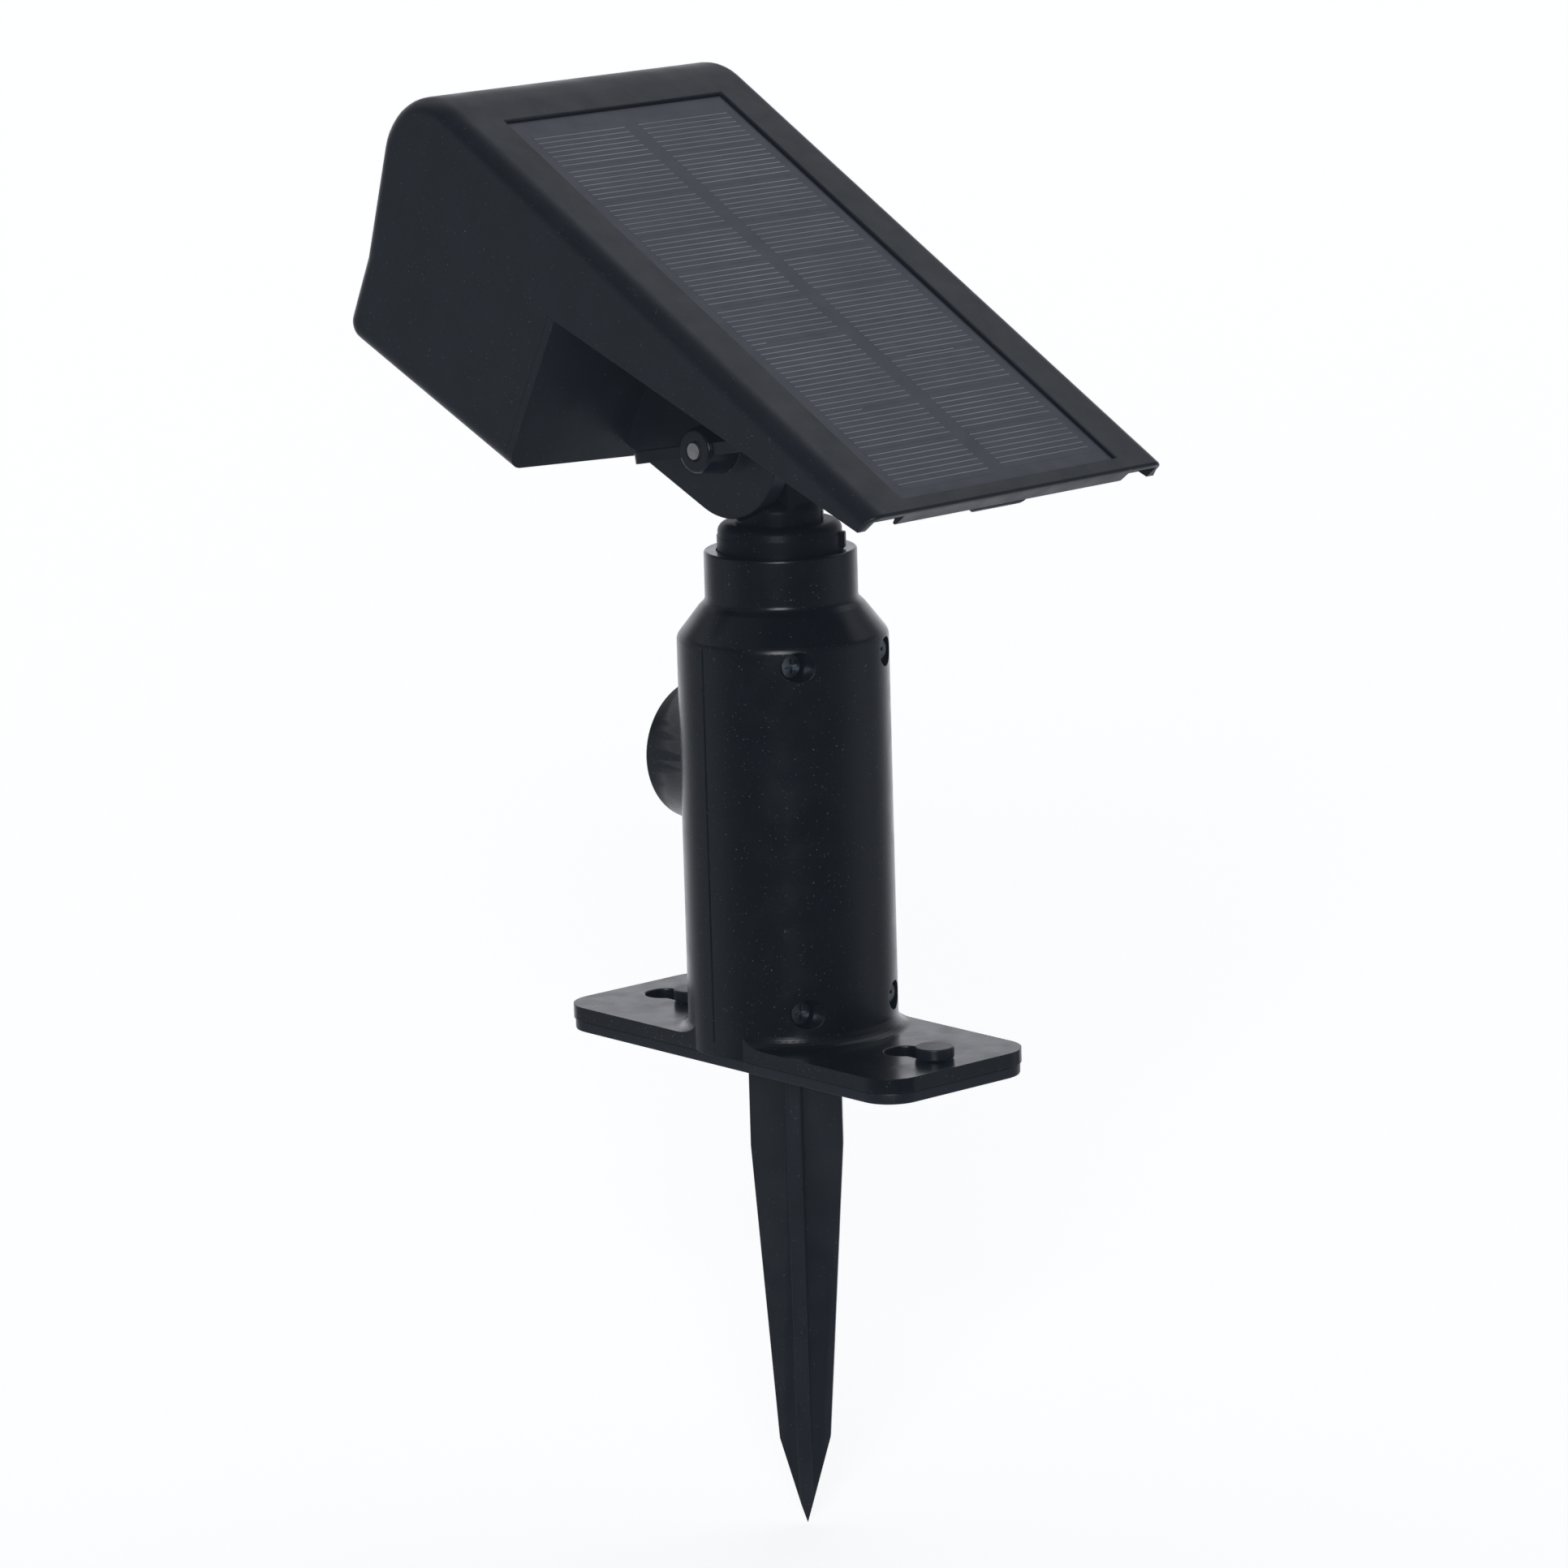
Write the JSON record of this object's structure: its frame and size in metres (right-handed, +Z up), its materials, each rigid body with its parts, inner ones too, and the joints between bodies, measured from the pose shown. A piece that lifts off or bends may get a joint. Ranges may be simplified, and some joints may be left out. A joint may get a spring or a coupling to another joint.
{
  "type": "solar spotlight on a ground stake",
  "caption": "Solar garden spotlight: a tilting hooded lamp head with a panel on top, on a swivel neck, a split post with a motion sensor, and a keyhole-locked ground spike.",
  "frame": {"origin": "post axis at ground level, on the underside of the stake plate", "axes": "+Z up the post, the spike goes down -Z, the lamp and the sensor face -Y, the wing nut is on +X"},
  "size_m": [0.1076, 0.1836, 0.352],
  "materials": {
    "shell_plastic": "satin moulded",
    "dark_plastic": "smooth moulded",
    "nut_plastic": "glossy moulded",
    "sensor_plastic": "smoky moulded",
    "steel": "plated",
    "insert_brass": "turned",
    "seal_rubber": "matt",
    "button_rubber": "matt",
    "solar_cell": "printed cells",
    "panel_back": "flat",
    "panel_film": "clear laminate",
    "clear_lens": "clear",
    "bright_reflector": "metallised",
    "white_board": "white mask",
    "led_phosphor": "phosphor",
    "battery_wrap": "shrink wrap",
    "circuit_board": "solder mask"
  },
  "bodies": {
    "stake": {"ground_stake": "shell_plastic"},
    "post": {"post_front_half": "shell_plastic", "post_rear_half": "shell_plastic", "post_screws": "steel", "sensor_lens": "sensor_plastic", "sensor_spacer": "dark_plastic", "sensor_board": "circuit_board", "sensor_element": "steel", "swivel_washer": "seal_rubber"},
    "neck": {"swivel_neck": "dark_plastic"},
    "head": {"head_shell": "shell_plastic", "base_cover": "shell_plastic", "cover_screws": "steel", "panel_plate": "panel_back", "solar_cells": "solar_cell", "panel_film": "panel_film", "lens_seal": "seal_rubber", "front_lens": "clear_lens", "reflector": "bright_reflector", "led_board": "white_board", "leds": "led_phosphor", "battery_holder": "dark_plastic", "battery": "battery_wrap", "battery_contacts": "steel", "control_board": "circuit_board", "board_parts": "dark_plastic", "switch_board": "circuit_board", "mode_switch": "dark_plastic", "hinge_bolt": "steel", "hinge_washer": "steel"},
    "wing_nut": {"wing_nut": "nut_plastic", "nut_insert": "insert_brass"},
    "button": {"mode_button": "button_rubber"}
  },
  "joints": [
    {"name": "keyhole_slide", "type": "slide", "parent": "stake", "child": "post", "axis": [0, 1, 0], "range_m": [0, 0.0105]},
    {"name": "neck_swivel", "type": "hinge", "parent": "post", "child": "neck", "pos_m": [0, 0, 0.115], "axis": [0, 0, 1], "range_deg": [-165, 165]},
    {"name": "head_tilt", "type": "hinge", "parent": "neck", "child": "head", "pos_m": [0.00037, -0.00699, 0.149], "axis": [0.9986, 0.0523, 0], "range_deg": [-45, 35]},
    {"name": "wing_nut_turn", "type": "hinge", "parent": "head", "child": "wing_nut", "pos_m": [0.00037, -0.00699, 0.149], "axis": [0.9986, 0.0523, 0], "range_deg": [0, 360]},
    {"name": "button_press", "type": "slide", "parent": "head", "child": "button", "axis": [-0.023, 0.4393, 0.898], "range_m": [0, 0.001], "stiffness_N_per_m": 1000, "springref_m": -0.0005}
  ]
}
